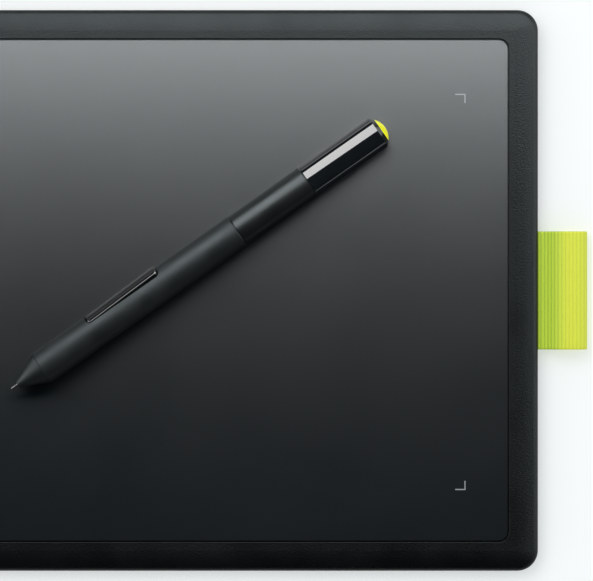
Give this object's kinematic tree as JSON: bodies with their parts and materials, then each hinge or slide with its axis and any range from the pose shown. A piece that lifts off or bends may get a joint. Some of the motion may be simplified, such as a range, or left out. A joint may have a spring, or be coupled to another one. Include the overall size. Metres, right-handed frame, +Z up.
{
  "type": "pen drawing tablet",
  "caption": "Thin black desk tablet with a recessed drawing sheet, a folded ribbon loop at one side, and a cylindrical stylus lying across it.",
  "frame": {"origin": "on the desk plane under the middle of the whole footprint, ribbon loop included; the body's own middle is 8.35 mm to its left", "axes": "+X to the user's right along the long side, +Y away from the user, +Z up from the desk"},
  "size_m": [0.2772, 0.189, 0.0202],
  "materials": {
    "case_black": "fine moulded texture",
    "base_black": "fine moulded texture",
    "sheet_black": "matte paper-like film",
    "glue_film": "acrylic adhesive film",
    "print_grey": "printed ink",
    "clear_guide": "clear moulded acrylic",
    "lamp_white": "small moulded lamp",
    "board_green": "solder mask",
    "shield_steel": "rolled sheet",
    "foam_grey": "soft foam",
    "chip_black": "moulded epoxy",
    "connector_cream": "moulded connector",
    "film_amber": "polyimide film",
    "socket_steel": "drawn and plated",
    "ribbon_lime": "ribbed woven ribbon",
    "screw_steel": "blackened",
    "label_grey": "blank printed film",
    "foot_rubber": "moulded rubber",
    "grip_black": "soft-touch coating",
    "ferrite_grey": "sintered",
    "copper_wire": "enamelled copper",
    "frame_white": "moulded",
    "barrel_satin": "satin moulded",
    "barrel_gloss": "polished",
    "switch_black": "satin moulded",
    "nib_black": "hard plastic",
    "cap_lime": "polished"
  },
  "bodies": {
    "tablet": {"top_cover": "case_black", "bottom_cover": "base_black", "drawing_surface": "sheet_black", "adhesive_sheet": "glue_film", "active_area_marks": "print_grey", "light_guide": "clear_guide", "status_lamp": "lamp_white", "sensor_board": "board_green", "shield_sheet": "shield_steel", "support_pads": "foam_grey", "control_board": "board_green", "controller_chip": "chip_black", "board_parts": "chip_black", "ribbon_connectors": "connector_cream", "ribbon_cable": "film_amber", "usb_socket": "socket_steel", "usb_tongue": "chip_black", "pen_loop": "ribbon_lime", "loop_anchor": "base_black", "anchor_screws": "screw_steel", "case_screws": "screw_steel", "rating_label": "label_grey", "foot_front_left": "foot_rubber", "foot_front_right": "foot_rubber", "foot_rear_left": "foot_rubber", "foot_rear_right": "foot_rubber"},
    "stylus": {"nose_cone": "grip_black", "grip_barrel": "grip_black", "switch_pin": "screw_steel", "ferrite_core": "ferrite_grey", "coil_windings": "copper_wire", "ferrite_rings": "foam_grey", "pressure_pad": "foam_grey", "pressure_sensor": "shield_steel", "inner_frame": "frame_white", "pen_board": "board_green", "dome_switches": "shield_steel", "pen_board_parts": "chip_black", "rear_barrel": "barrel_satin", "nib_rack": "frame_white", "spare_nibs": "nib_black"},
    "rocker": {"side_switch": "switch_black"},
    "carrier": {"nib_carrier": "frame_white"},
    "nib": {"nib": "nib_black"},
    "tail": {"tail_barrel": "barrel_gloss", "end_cap": "cap_lime"}
  },
  "joints": [
    {"name": "stylus_lift", "type": "slide", "parent": "tablet", "child": "stylus", "axis": [0, 0, 1], "range_m": [0, 0.08]},
    {"name": "side_switch_rock", "type": "hinge", "parent": "stylus", "child": "rocker", "pos_m": [-0.01748, -0.00254, 0.01692], "axis": [-0.3292, 0.4697, -0.8192], "range_deg": [-1.5, 1.5], "stiffness_Nm_per_rad": 0.2},
    {"name": "nib_press", "type": "slide", "parent": "stylus", "child": "carrier", "axis": [0.819, 0.5739, 0], "range_m": [0, 0.0004], "stiffness_N_per_m": 2000},
    {"name": "nib_pull", "type": "slide", "parent": "carrier", "child": "nib", "axis": [-0.819, -0.5739, 0], "range_m": [0, 0.025]},
    {"name": "tail_pull", "type": "slide", "parent": "stylus", "child": "tail", "axis": [0.819, 0.5739, 0], "range_m": [0, 0.03]}
  ]
}
